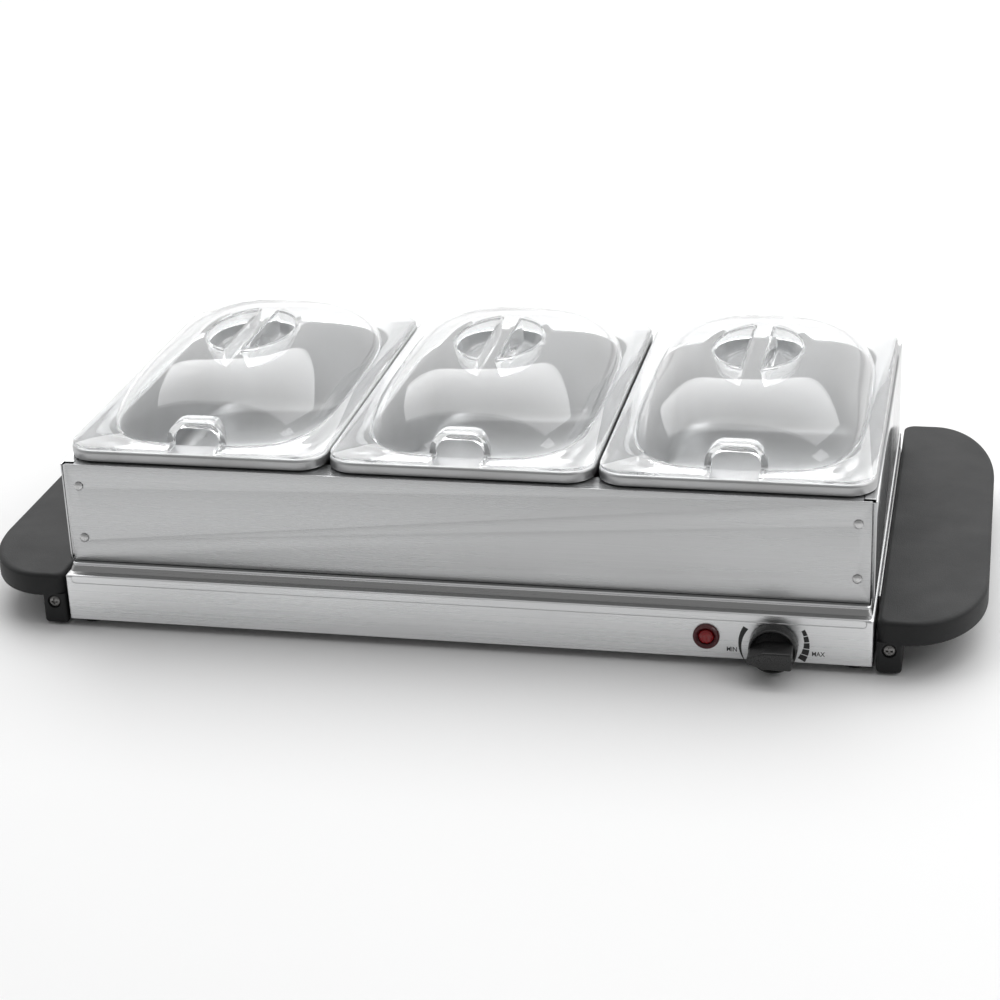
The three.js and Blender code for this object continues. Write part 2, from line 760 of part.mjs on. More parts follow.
function faceSheet() {
  const y0 = FRAME_FRONT;
  return without(
    joined(
      block(-FACE_HALF_X, FACE_HALF_X, y0, y0 + SHEET, FRAME_BOTTOM, FRAME_TOP),
      block(-FLANGE_HALF_X, FLANGE_HALF_X, y0, y0 + TOP_FLANGE, FRAME_TOP - SHEET, FRAME_TOP),
      block(-FLANGE_HALF_X, FLANGE_HALF_X, y0, y0 + HEM, FRAME_BOTTOM, FRAME_BOTTOM + SHEET),
    ),
    ...rivetHoles(y0 - 1, y0 + 2),
  );
}

function sideSheet() {
  const x1 = FRAME_HALF_X;
  const tabY = FRAME_FRONT + SHEET + GAP;
  const tab = without(
    block(x1 - TAB, x1, tabY, tabY + SHEET, FRAME_BOTTOM + 3, FRAME_TOP - SHEET - GAP),
    ...rivetHoles(tabY - 1, tabY + 2, (x) => x > 0),
  );
  const flangeStart = FRAME_FRONT + 5;
  const flangeEnd = FRAME_REAR - 5;
  const hemStart = FRAME_FRONT + HEM + GAP;
  const hemEnd = FRAME_REAR - HEM - GAP;
  return joined(
    block(x1 - SHEET, x1, FRAME_FRONT + 0.3, FRAME_REAR - 0.3, FRAME_BOTTOM, FRAME_TOP),
    block(x1 - SIDE_FLANGE, x1, flangeStart, flangeEnd, FRAME_TOP - SHEET, FRAME_TOP),
    block(x1 - HEM, x1, hemStart, hemEnd, FRAME_BOTTOM, FRAME_BOTTOM + SHEET),
    tab,
    mirroredY(tab),
  );
}

piece("frame_front", faceSheet(), brushedSteel);
piece("frame_rear", mirroredY(faceSheet()), brushedSteel);
piece("frame_side_right", sideSheet(), polishedSteel);
piece("frame_side_left", sideSheet().mirror([1, 0, 0]), polishedSteel);

// Blind rivets: a domed head outside, a shank through both sheets and a formed end inside.
function rivetSolid(x, z) {
  const head = FRAME_FRONT - GAP;
  const inside = FRAME_FRONT + 2 * SHEET + 2 * GAP;
  const profile = [
    [0, head - 1.5],
    [1.6, head - 1.3],
    [2.7, head - 0.75],
    [3.15, head],
    [1.6, head],
    [1.6, inside],
    [2.5, inside + 0.3],
    [2.3, inside + 2],
    [0, inside + 2.2],
  ];
  return turnedY(profile, x, z, 10);
}
for (const [place, x, z] of rivetPlaces) {
  piece("rivet_front_" + place, rivetSolid(x, z), aluminium);
  piece("rivet_rear_" + place, mirroredY(rivetSolid(x, z)), aluminium);
}

// ---- pans --------------------------------------------------------------------------------------
// A pan's wall surface, grown outward by wall, from the floor's fillet up to height top.
function panBody(x, wall, top) {
  const fillet = PAN_FILLET + wall;
  const wallAt = (z) => (PAN_DRAFT * (RIM_TOP - z)) / (RIM_TOP - PAN_FLOOR);
  const ring = (inset, z) =>
    centredRing(
      x,
      FRAME_MID_Y,
      MOUTH_HALF_X - inset + wall,
      MOUTH_HALF_Y - inset + wall,
      MOUTH_RADIUS - inset + wall,
      z,
      6,
    );
  const low = PAN_FLOOR + SHEET - wall;
  const bend = [0, 30, 60, 90].map((degrees) => {
    const angle = THREE.MathUtils.degToRad(degrees);
    const z = low + fillet * (1 - Math.cos(angle));
    return ring(wallAt(low + fillet) + fillet * (1 - Math.sin(angle)), z);
  });
  return loft([...bend, ring(0, top)]);
}

// The rim is a flat flange with a turned-down edge; inset gives its inner skin.
function rimBlock(x, inset) {
  const ring = (shrink, z) =>
    centredRing(
      x,
      FRAME_MID_Y,
      RIM_HALF_X - inset - shrink,
      RIM_HALF_Y - inset - shrink,
      RIM_RADIUS - inset - shrink,
      z,
      5,
    );
  const below = inset ? [ring(RIM_TUCK, RIM_BOTTOM - 2)] : [];
  const top = RIM_TOP - inset;
  const tuck = [ring(RIM_TUCK, RIM_BOTTOM), ring(0, RIM_BOTTOM + RIM_TUCK)];
  return loft([...below, ...tuck, ring(0, top - 2), ring(0.6, top - 0.6), ring(2, top)]);
}

function panSolid(x) {
  const rim = without(rimBlock(x, 0), rimBlock(x, SHEET));
  return without(joined(rim, panBody(x, SHEET, RIM_TOP - 0.2)), panBody(x, 0, RIM_TOP + 1));
}

// ---- lids --------------------------------------------------------------------------------------
// The dome's surface, moved inward by inset: it leans in and rounds off as it rises.
function domeBlock(x, inset) {
  const levels = inset ? [0, 14, 30, 48, 68, 90] : [0, 12, 25, 40, 56, 72, 90];
  const [square, round] = DOME_SQUARE;
  const ring = (lean, z) =>
    squircleRing(
      x,
      DOME_MID_Y,
      DOME_HALF_X - inset - DOME_LEAN_X * lean,
      DOME_HALF_Y - inset - DOME_LEAN_Y * lean,
      square + (round - square) * Math.min(lean, 1),
      z,
      36,
    );
  const rings = levels.map((degrees) => {
    const angle = THREE.MathUtils.degToRad(degrees);
    const rise = Math.sin(angle) ** DOME_SOFTNESS;
    return ring(1 - Math.cos(angle), LID_TOP + (DOME_RISE - inset) * rise);
  });
  const foot = ring(0, inset ? LID_UNDER - 3 : LID_UNDER);
  const crown = ring(1.4, LID_TOP + DOME_RISE + 0.8 - inset);
  return loft([foot, ...rings, crown]);
}

// The finger dish, split by a bar to hold; grow thickens it to leave its plastic wall.
function dishVoid(x, grow) {
  const domeTop = LID_TOP + DOME_RISE;
  const floor = domeTop - DISH.depth - grow;
  const above = domeTop + 6;
  const oval = (shrink, z) =>
    squircleRing(x, DISH.y, DISH.halfX - shrink + grow, DISH.halfY - shrink + grow, 2, z, 28);
  const bowl = loft([oval(6, floor), oval(2.6, floor + 3), oval(0, domeTop - 1), oval(-1, above)]);
  const half = (z) => GRIP_HALF - grow + 0.18 * (domeTop - z);
  const bar = (z) => {
    const y0 = DISH.y - DISH.halfY - 9;
    const y1 = DISH.y + DISH.halfY + 9;
    return roundedRing(x - half(z), x + half(z), y0, y1, 0.5, z, 1);
  };
  return without(bowl, loft([bar(floor - 2), bar(above + 1)]));
}

// A tunnel along Y with straight sides and a flat top with round corners.
function archBlock(x, half, top, corner, y0, y1, z0) {
  const steps = 5;
  const bend = (side, from) =>
    Array.from({ length: steps + 1 }, (_, i) => {
      const angle = THREE.MathUtils.degToRad(from + (90 * i) / steps);
      const reach = side * (half - corner);
      return new THREE.Vector2(
        reach + corner * Math.cos(angle),
        top - corner + corner * Math.sin(angle),
      );
    });
  const feet = [new THREE.Vector2(-half, z0), new THREE.Vector2(half, z0)];
  const outline = new THREE.Shape([...bend(1, 0), ...bend(-1, 90), ...feet]);
  const geometry = new THREE.ExtrudeGeometry(outline, { depth: y1 - y0, bevelEnabled: false });
  return solidOf(geometry.rotateX(Math.PI / 2).translate(x, y1, 0));
}

function lidSolid(x) {
  const flange = (shrink, z) =>
    centredRing(
      x,
      FRAME_MID_Y,
      LID_HALF_X - shrink,
      LID_HALF_Y - shrink,
      RIM_RADIUS - 0.7 - shrink,
      z,
      5,
    );
  const plate = loft([
    flange(0.5, LID_UNDER),
    flange(0, LID_UNDER + 0.6),
    flange(0, LID_TOP - 0.6),
    flange(0.6, LID_TOP),
  ]);
  const front = FRAME_MID_Y - LID_HALF_Y;
  const domeFront = DOME_MID_Y - DOME_HALF_Y;
  const arch = (grow, y0, y1, z0) =>
    archBlock(x, NOTCH_HALF + grow, NOTCH_TOP + grow, NOTCH_CORNER + grow, y0, y1, z0);
  const rib = arch(NOTCH_RIB, domeFront - 1, domeFront + 12, LID_UNDER);
  const lipX = NOTCH_HALF + 2.4;
  const lips = block(x - lipX, x + lipX, front, domeFront, LID_UNDER, LID_TOP + 1.4);
  return without(
    joined(without(domeBlock(x, 0), dishVoid(x, 0)), plate, rib, lips),
    without(domeBlock(x, LID_WALL), dishVoid(x, LID_WALL)),
    arch(0, front - 5, domeFront + 22, LID_UNDER - 3),
  );
}

for (const [place, column] of [
  ["left", -1],
  ["middle", 0],
  ["right", 1],
]) {
  piece("pan_" + place, panSolid(column * PAN_PITCH), polishedSteel);
  piece("lid_" + place, lidSolid(column * PAN_PITCH), clearPlastic);
}

root.position.y = CENTRE_Y;
export default root;
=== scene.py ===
"""Looks for the electric buffet server: studio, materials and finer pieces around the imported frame."""
from math import cos, pi, radians, sin

import bmesh
import bpy
from mathutils import Matrix, Vector


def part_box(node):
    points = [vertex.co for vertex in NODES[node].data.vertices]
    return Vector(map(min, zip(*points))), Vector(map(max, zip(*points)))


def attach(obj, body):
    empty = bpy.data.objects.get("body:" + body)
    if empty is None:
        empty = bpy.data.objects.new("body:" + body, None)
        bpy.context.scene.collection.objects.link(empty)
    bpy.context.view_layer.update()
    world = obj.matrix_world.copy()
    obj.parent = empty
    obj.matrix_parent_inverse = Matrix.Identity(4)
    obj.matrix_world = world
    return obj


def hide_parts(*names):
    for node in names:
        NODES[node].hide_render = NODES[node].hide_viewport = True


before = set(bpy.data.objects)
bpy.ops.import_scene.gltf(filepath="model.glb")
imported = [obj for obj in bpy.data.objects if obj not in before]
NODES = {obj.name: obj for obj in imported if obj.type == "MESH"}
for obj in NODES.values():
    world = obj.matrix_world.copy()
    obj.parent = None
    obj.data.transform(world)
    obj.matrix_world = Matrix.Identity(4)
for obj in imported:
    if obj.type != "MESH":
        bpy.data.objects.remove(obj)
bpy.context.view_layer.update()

MM = 0.001  # shapes are written in millimetres, in the row frame


# ---- camera --------------------------------------------------------------------------------------
def make_camera():
    azimuth, elevation, roll = radians(12.669), radians(23.179), radians(-2.279)
    back = Vector((sin(azimuth) * cos(elevation), -cos(azimuth) * cos(elevation), sin(elevation)))
    level = Vector((cos(azimuth), sin(azimuth), 0))
    upright = back.cross(level)
    right = cos(roll) * level + sin(roll) * upright
    up = cos(roll) * upright - sin(roll) * level
    data = bpy.data.cameras.new("camera")
    data.sensor_width = 36
    data.lens = 85.54
    data.clip_end = 50
    camera = bpy.data.objects.new("camera", data)
    bpy.context.scene.collection.objects.link(camera)
    camera.matrix_world = Matrix((right, up, back)).transposed().to_4x4()
    camera.location = (0.34502, -1.54828, 0.71986)
    bpy.context.scene.camera = camera


make_camera()


# ---- node materials ------------------------------------------------------------------------------
class Look:
    """A Principled material and short ways to add nodes to it; coordinates are the row frame's."""

    def __init__(self, name, **constants):
        self.material = bpy.data.materials.new(name)
        self.material.use_nodes = True
        self.tree = self.material.node_tree
        self.shader = self.tree.nodes["Principled BSDF"]
        self.place = self.node("ShaderNodeTexCoord").outputs["Object"]
        for socket, value in constants.items():
            self.shader.inputs[socket.replace("_", " ")].default_value = value

    def node(self, kind, settings=None, **inputs):
        made = self.tree.nodes.new(kind)
        for name, value in (settings or {}).items():
            setattr(made, name, value)
        for name, value in inputs.items():
            self.feed(made.inputs[name.replace("_", " ")], value)
        return made

    def feed(self, socket, value):
        if isinstance(value, bpy.types.NodeSocket):
            self.tree.links.new(value, socket)
        else:
            socket.default_value = value

    def noise(self, scale, stretch=(1, 1, 1), detail=4.0, rough=0.55, distortion=0.0):
        mapping = self.node("ShaderNodeMapping", Vector=self.place, Scale=stretch)
        made = self.node(
            "ShaderNodeTexNoise",
            Vector=mapping.outputs[0],
            Scale=scale,
            Detail=detail,
            Roughness=rough,
            Distortion=distortion,
        )
        return made.outputs[0]

    def span(self, value, low, high, start=0.0, end=1.0):
        """value, remapped from start..end to low..high."""
        made = self.node("ShaderNodeMapRange", Value=value)
        for name, number in zip(("From Min", "From Max", "To Min", "To Max"), (start, end, low, high)):
            made.inputs[name].default_value = number
        return made.outputs[0]

    def math(self, operation, a, b):
        made = self.node("ShaderNodeMath", {"operation": operation})
        self.feed(made.inputs[0], a)
        self.feed(made.inputs[1], b)
        return made.outputs[0]

    def mix(self, factor, a, b):
        made = self.node("ShaderNodeMix", {"data_type": "RGBA"})
        self.feed(made.inputs[0], factor)
        self.feed(made.inputs[6], a)
        self.feed(made.inputs[7], b)
        return made.outputs[2]

    def bump(self, height, strength, distance):
        made = self.node("ShaderNodeBump", Height=height, Strength=strength, Distance=distance)
        before = self.shader.inputs["Normal"]
        if before.links:
            self.feed(made.inputs["Normal"], before.links[0].from_socket)
        self.feed(before, made.outputs[0])

    def set(self, socket, value):
        self.feed(self.shader.inputs[socket], value)


def grey(level, warm=0.0):
    return (level * (1 + warm), level, level * (1 - warm), 1)


def brushed_steel(name, stretch, level=0.5, rough=0.27, spread=0.16, painted_shade_heights=None):
    """Sheet steel with fine brushing along one axis and faint smears.

    The last argument gives three heights for painted shade: the tone turns darker at the first, where the
    ledge stands for its dark reflection of the frame, back at the second, to leave the deck's fold bright,
    and darker at the third, where the deck stands for the frame's shadow.
    """
    look = Look(name, Metallic=1.0)
    lines = look.noise(1.0, stretch, 5.0, 0.65)
    smears = look.noise(7.0, (0.35, 1, 1.6), 3.0, 0.5, 0.6)
    tone = look.mix(look.span(lines, 0, 1, 0.3, 0.7), grey(level * 0.93, -0.012), grey(level * 1.06, -0.006))
    colour = look.mix(look.span(smears, 0, 0.35, 0.42, 0.75), tone, grey(level * 0.84))
    if painted_shade_heights:
        # painted shade: a darker tone on the ledge and the deck, standing for the ledge's reflection of the
        # frame's dark face and the frame's shadow on the deck
        height = look.node("ShaderNodeSeparateXYZ", Vector=look.place).outputs["Z"]
        ledge, edge, deck = (look.span(height, 0, 1, z - 0.0001, z + 0.0001) for z in painted_shade_heights)
        painted_shade_share = look.math("ADD", look.math("SUBTRACT", ledge, edge), deck)
        colour = look.mix(painted_shade_share, colour, grey(level * 0.56))
    look.set("Base Color", colour)
    roughness = look.math("ADD", look.span(lines, rough - spread / 2, rough + spread / 2, 0.25, 0.75),
                          look.span(smears, -0.03, 0.07, 0.3, 0.75))
    look.set("Roughness", roughness)
    look.bump(lines, 0.09, 0.00012)
    look.bump(look.noise(5.0, (0.6, 1, 1), 2.0), 0.06, 0.004)
    return look.material


def bright_steel(name, level=0.66, rough=0.13):
    """Near-mirror sheet with light hairline marks and a soft unevenness from pressing."""
    look = Look(name, Metallic=1.0)
    marks = look.noise(1.0, (1400, 25, 1400), 3.0, 0.6)
    haze = look.noise(22.0, detail=3.0)
    look.set("Base Color", look.mix(look.span(haze, 0, 1, 0.35, 0.7), grey(level, -0.01), grey(level * 0.9)))
    look.set("Roughness", look.math("ADD", look.span(marks, rough - 0.04, rough + 0.05, 0.3, 0.7),
                                    look.span(haze, -0.02, 0.06, 0.35, 0.75)))
    look.bump(marks, 0.04, 0.0001)
    look.bump(look.noise(9.0, detail=1.5), 0.05, 0.006)
    return look.material


def plain_metal(name, colour, rough, grain=900.0, metallic=1.0, dirt=0.75):
    look = Look(name, Metallic=metallic)
    fine = look.noise(grain, detail=3.0)
    blotch = look.noise(60.0, detail=3.0)
    darker = tuple(c * dirt for c in colour[:3]) + (1,)
    look.set("Base Color", look.mix(look.span(blotch, 0, 0.8, 0.4, 0.75), colour, darker))
    look.set("Roughness", look.span(fine, rough - 0.07, rough + 0.09, 0.3, 0.7))
    look.bump(fine, 0.12, 0.0002)
    return look.material


def moulded_plastic(name, colour, rough, grain, depth, lift=1.35, gloss=0.5):
    """Moulded plastic: a fine pebbled texture, a slightly paler wear tone and uneven gloss."""
    look = Look(name, Specular_IOR_Level=gloss)
    pebble = look.node("ShaderNodeTexVoronoi", {"feature": "SMOOTH_F1"}, Vector=look.place, Scale=grain,
                       Smoothness=0.6).outputs["Distance"]
    cloud = look.noise(28.0, detail=4.0)
    paler = tuple(min(1, c * lift) for c in colour[:3]) + (1,)
    look.set("Base Color", look.mix(look.span(cloud, 0, 1, 0.35, 0.75), colour, paler))
    look.set("Roughness", look.math("ADD", look.span(cloud, rough - 0.04, rough + 0.06, 0.3, 0.7),
                                    look.span(pebble, 0.03, -0.03, 0.0, 0.7)))
    look.bump(pebble, 0.35, depth)
    return look.material


def clear_plastic():
    """Clear polycarbonate with faint moulding waves and a light veil; lamps shine through it."""
    look = Look("clear_lid", Transmission_Weight=0.94, IOR=1.45, Base_Color=(0.985, 0.99, 0.992, 1))
    haze = look.noise(30.0, detail=3.0)
    look.set("Roughness", look.span(haze, 0.015, 0.06, 0.4, 0.8))
    look.bump(look.noise(16.0, detail=1.5), 0.04, 0.003)
    open_way = look.node("ShaderNodeBsdfTransparent", Color=(0.9, 0.91, 0.92, 1))
    choose = look.node("ShaderNodeMixShader")
    look.feed(choose.inputs[0], look.node("ShaderNodeLightPath").outputs["Is Shadow Ray"])
    look.feed(choose.inputs[1], look.shader.outputs[0])
    look.feed(choose.inputs[2], open_way.outputs[0])
    look.feed(look.tree.nodes["Material Output"].inputs["Surface"], choose.outputs[0])
    return look.material


def lens_red():
    look = Look("lamp_lens_red", Transmission_Weight=0.35, IOR=1.49, Coat_Weight=0.3, Coat_Roughness=0.08)
    rings = look.node("ShaderNodeTexWave", {"wave_type": "RINGS", "rings_direction": "Y"},
                      Vector=look.node("ShaderNodeMapping", Vector=look.place,
                                       Location=(-0.1678, 0, -0.0213)).outputs[0],
                      Scale=240.0, Distortion=0.4, Detail=1.0).outputs[1]
    look.set("Base Color", look.mix(rings, (0.3, 0.004, 0.008, 1), (0.5, 0.012, 0.018, 1)))
    look.set("Roughness", look.span(rings, 0.12, 0.24))
    look.bump(rings, 0.25, 0.0003)
    return look.material


def ink():
    look = Look("dial_ink")
    worn = look.noise(420.0, detail=4.0)
    look.set("Base Color", look.mix(look.span(worn, 0, 1, 0.45, 0.75), grey(0.012), grey(0.03)))
    look.set("Roughness", look.span(worn, 0.4, 0.6, 0.3, 0.7))
    return look.material


STEEL_LONG = brushed_steel("brushed_steel_long", (9, 1100, 1100), 0.56)
# painted light: the base is the frame's steel set brighter, to make up for the shadowed floor its dial panel
# reflects; its ledge and deck also get painted shade
STEEL_BASE = brushed_steel("brushed_steel_base_painted_light_and_shade", (9, 1100, 1100), 0.77, painted_shade_heights=(0.0389, 0.0430, 0.0446))
STEEL_SIDE = bright_steel("bright_side_steel", 0.56)
STEEL_PAN = bright_steel("pan_steel", 0.52, 0.4)
STEEL_PLAIN = plain_metal("zinc_steel", grey(0.42), 0.42)
STEEL_SCREW = plain_metal("screw_steel", grey(0.22, 0.02), 0.3)
STEEL_RIVET = plain_metal("rivet_aluminium", grey(0.66), 0.36)
ALUMINIUM = plain_metal("satin_aluminium", grey(0.62), 0.36)
SHEATH = plain_metal("element_sheath", grey(0.09, 0.05), 0.55, 500.0, 0.8, 0.6)
BRASS = plain_metal("brass", (0.62, 0.43, 0.16, 1), 0.3)
HANDLE_BLACK = moulded_plastic("handle_black", grey(0.013, -0.03), 0.6, 1150.0, 0.00022, gloss=0.3)
KNOB_BLACK = moulded_plastic("knob_black", grey(0.013), 0.28, 1900.0, 0.00004)
CREAM = moulded_plastic("cream_plastic", (0.66, 0.6, 0.47, 1), 0.5, 1400.0, 0.0001, 1.1)
RUBBER = moulded_plastic("rubber_black", grey(0.014), 0.72, 1500.0, 0.0002, 1.6)
BEZEL = moulded_plastic("bezel_red", (0.055, 0.004, 0.006, 1), 0.26, 2600.0, 0.00003, 1.5)
CLEAR = clear_plastic()
LENS = lens_red()
INK = ink()


# ---- mesh tools ----------------------------------------------------------------------------------
def add_object(name, verts, faces):
    mesh = bpy.data.meshes.new(name)
    mesh.from_pydata([[c * MM for c in v] for v in verts], [], faces)
    work = bmesh.new()
    work.from_mesh(mesh)
    bmesh.ops.remove_doubles(work, verts=work.verts, dist=1e-7)
    bmesh.ops.recalc_face_normals(work, faces=work.faces)
    work.to_mesh(mesh)
    work.free()
    made = bpy.data.objects.new(name, mesh)
    bpy.context.scene.collection.objects.link(made)
    return made


def loft(name, rings, closed=False):
    """A solid through rings of equal length; closed joins the last ring back to the first."""
    count = len(rings[0])
    levels = len(rings)
    faces = []
    for i in range(levels if closed else levels - 1):
        low, high = i * count, ((i + 1) % levels) * count
        faces += [(low + k, low + (k + 1) % count, high + (k + 1) % count, high + k) for k in range(count)]
    if not closed:
        faces += [tuple(range(count)), tuple((levels - 1) * count + k for k in range(count))]
    return add_object(name, [p for ring in rings for p in ring], faces)


def turned(name, profile, centre, sides=40, axis="Y", closed=False):
    """A solid of revolution; profile is [radius, distance along the axis] pairs."""
    def point(radius, along, k):
        a, b = radius * cos(2 * pi * k / sides), radius * sin(2 * pi * k / sides)
        if axis == "Y":
            return (centre[0] + a, along, centre[1] + b)
        return (centre[0] + a, centre[1] + b, along)

    rings = [[point(max(r, 1e-4), t, k) for k in range(sides)] for r, t in profile]
    return loft(name, rings, closed)


def block(name, x0, x1, y0, y1, z0, z1):
    return loft(name, [[(x0, y0, z), (x1, y0, z), (x1, y1, z), (x0, y1, z)] for z in (z0, z1)])


def rounded_ring(x, y, half_x, half_y, radius, z, steps=10):
    ring = []
    for corner in range(4):
        cx = x + (half_x - radius) * (1 if corner in (0, 1) else -1)
        cy = y + (half_y - radius) * (1 if corner in (1, 2) else -1)
        for i in range(steps + 1):
            angle = radians(-90 + 90 * corner + 90 * i / steps)
            ring.append((cx + radius * cos(angle), cy + radius * sin(angle), z))
    return ring


def squircle_ring(x, y, half_x, half_y, power, z, count=112):
    def along(value):
        return (1 if value >= 0 else -1) * abs(value) ** (2 / power)

    angles = [2 * pi * (i + 0.5) / count for i in range(count)]
    return [(x + half_x * along(cos(a)), y + half_y * along(sin(a)), z) for a in angles]


def apply_modifiers(piece):
    graph = bpy.context.evaluated_depsgraph_get()
    mesh = bpy.data.meshes.new_from_object(piece.evaluated_get(graph))
    piece.modifiers.clear()
    old, piece.data = piece.data, mesh
    mesh.name = piece.name
    bpy.data.meshes.remove(old)
    return piece


def combine(piece, operation, others):
    for other in others:
        modifier = piece.modifiers.new(operation, "BOOLEAN")
        modifier.operation = operation
        modifier.solver = "EXACT"
        modifier.object = other
    apply_modifiers(piece)
    for other in others:
        bpy.data.objects.remove(other)
    return piece


def cut(piece, *others):
    return combine(piece, "DIFFERENCE", others)


def fuse(piece, *others):
    return combine(piece, "UNION", others)


def bevel(piece, width, segments=3, angle=35.0):
    modifier = piece.modifiers.new("bevel", "BEVEL")
    modifier.width = width * MM
    modifier.segments = segments
    modifier.limit_method = "ANGLE"
    modifier.angle_limit = radians(angle)
    modifier.use_clamp_overlap = True
    return apply_modifiers(piece)


def settle(piece, body, material, replaced=(), sharp=32.0):
    """Shades a finished piece, gives it its material and hangs it on its CAD body."""
    piece.data.materials.clear()
    piece.data.materials.append(material)
    piece.data.shade_smooth()
    piece.data.set_sharp_from_angle(angle=radians(sharp))
    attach(piece, body)
    if replaced:
        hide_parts(*replaced)
    return piece


def refined(node, body, material, width, segments=2):
    """A copy of a CAD node with its flat faces merged and its edges slightly rounded."""
    piece = bpy.data.objects.new(node + "_fine", NODES[node].data.copy())
    bpy.context.scene.collection.objects.link(piece)
    work = bmesh.new()
    work.from_mesh(piece.data)
    bmesh.ops.remove_doubles(work, verts=work.verts, dist=2e-6)
    bmesh.ops.dissolve_limit(work, angle_limit=radians(1), verts=work.verts, edges=work.edges)
    work.to_mesh(piece.data)
    work.free()
    bevel(piece, width, segments)
    return settle(piece, body, material, [node])


# ---- sizes read off the frame --------------------------------------------------------------------
def span_mm(node):
    low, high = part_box(node)
    return [c / MM for c in low], [c / MM for c in high]


SIDES = (("left", -1), ("right", 1))
PLACES = (("left", -1), ("middle", 0), ("right", 1))
SHELL_LOW, SHELL_HIGH = span_mm("base_shell")
FACE_LOW, FACE_HIGH = span_mm("frame_front")
FRAME_LOW, FRAME_HIGH = FACE_LOW, span_mm("frame_rear")[1]
FRAME_MID_Y = (FRAME_LOW[1] + FRAME_HIGH[1]) / 2
PAN_LOW, PAN_HIGH = span_mm("pan_middle")
LID_LOW, LID_HIGH = span_mm("lid_middle")
PITCH = span_mm("pan_right")[0][0] - PAN_LOW[0]
KNOB_LOW, KNOB_HIGH = span_mm("control_knob")
KNOB_X = (KNOB_LOW[0] + KNOB_HIGH[0]) / 2
KNOB_Z = span_mm("thermostat_shaft")[0][2] + 3
LAMP_LOW, LAMP_HIGH = span_mm("lamp_bezel")
LAMP = ((LAMP_LOW[0] + LAMP_HIGH[0]) / 2, (LAMP_LOW[2] + LAMP_HIGH[2]) / 2)


# ---- warming base --------------------------------------------------------------------------------
LEDGE_Z = 39.0
SKIRT_FOLD, DECK_FOLD = 2.0, 1.8  # radii of the round folds at the ledge and at the deck
DECK_HALF_X = 273.1
DECK_FRONT, DECK_REAR = SHELL_LOW[1] + 9.5, SHELL_HIGH[1] - 13.9
SHEET = 1.0


def base_skin(inset, steps=6):
    """The pressed top with round folds; inset gives its inner skin."""
    def ring(x0, x1, y0, y1, radius, z):
        return rounded_ring((x0 + x1) / 2, (y0 + y1) / 2, (x1 - x0) / 2, (y1 - y0) / 2, radius, z, steps)

    def skirt(grow, z):
        g = inset + grow
        return ring(SHELL_LOW[0] + g, SHELL_HIGH[0] - g, SHELL_LOW[1] + g, SHELL_HIGH[1] - g, 2.4 - inset, z)

    def deck(run, z):
        return ring(-DECK_HALF_X - run / 2 + inset, DECK_HALF_X + run / 2 - inset,
                    DECK_FRONT - run + inset, DECK_REAR + run - inset, 3.4 - inset, z)

    top = SHELL_HIGH[2]
    rings = [skirt(0, SHELL_LOW[2] - (4 if inset else 0))]
    for i in range(steps + 1):
        angle = radians(90 * i / steps)
        rings.append(skirt(SKIRT_FOLD * (1 - cos(angle)), LEDGE_Z - inset - SKIRT_FOLD * (1 - sin(angle))))
    rings.append(deck(3.5, LEDGE_Z + 0.3 - inset))
    for i in range(steps + 1):
        angle = radians(90 * i / steps)
        rings.append(deck(1.2 - DECK_FOLD * (1 - cos(angle)), top - inset - DECK_FOLD * (1 - sin(angle))))
    return loft("base_shell_fine", rings)


def pressed_band():
    """What is cut from the top of the dial panel to leave a shallow step that runs out into the fold."""
    front = SHELL_LOW[1]
    half_x, half_z, corner = SHELL_HIGH[0] - 4.6, 3.0, 2.6
    middle_z = LEDGE_Z - half_z

    def outline(shrink, y):
        ring = rounded_ring(0, middle_z, half_x - shrink, half_z - shrink, corner - shrink, 0, 6)
        return [(x, y, z) for x, z, _ in ring]

    return loft("band", [outline(-0.8, front - 1), outline(0, front + 0.02), outline(0.5, front + 0.3)])


def make_base():
    shell = base_skin(0)
    front, rear = SHELL_LOW[1], SHELL_HIGH[1]
    gland = span_mm("cord_gland")
    gland_x, gland_z = (gland[0][0] + gland[1][0]) / 2, (gland[0][2] + gland[1][2]) / 2
    cut(shell, base_skin(SHEET), pressed_band(),
        turned("bore", [(5.6, front - 2), (5.6, front + 3)], (KNOB_X, KNOB_Z)),
        turned("bore", [(7.3, front - 2), (7.3, front + 3)], LAMP),
        turned("bore", [(6.9, rear - 3), (6.9, rear + 2)], (gland_x, gland_z)))
    settle(shell, "base", STEEL_BASE, ["base_shell"], 25)
    for node in ("bottom_cover", "end_bracket_left", "end_bracket_right"):
        refined(node, "base", STEEL_PLAIN, 0.25)


# ---- handles -------------------------------------------------------------------------------------
HANDLE_LOW, HANDLE_HIGH = span_mm("handle_right")
HANDLE_UNDER, HANDLE_WALL = 22.0, 3.2
LEG_WIDTH, LEG_DEPTH, LEG_WALL = 16.5, 44.0, 3.0
RIBS = [HANDLE_LOW[1] + along for along in (109, 174, 239)]
CORNERS = ((7.0, 7.0), (50.0, 74.0), (44.0, 96.0), (7.0, 7.0))


def plate_ring(inset, z, steps=20):
    """The handle's outline, from its inner front corner anticlockwise."""
    x0, x1 = HANDLE_LOW[0] + inset, HANDLE_HIGH[0] - inset
    y0, y1 = HANDLE_LOW[1] + inset, HANDLE_HIGH[1] - inset
    corners = ((x0, y0, 1, 1, 180), (x1, y0, -1, 1, 270), (x1, y1, -1, -1, 0), (x0, y1, 1, -1, 90))
    ring = []
    for (x, y, way_x, way_y, start), (rx, ry) in zip(corners, CORNERS):
        for i in range(steps + 1):
            angle = radians(start + 90 * i / steps)
            ring.append((x + way_x * rx + rx * cos(angle), y + way_y * ry + ry * sin(angle), z))
    return ring


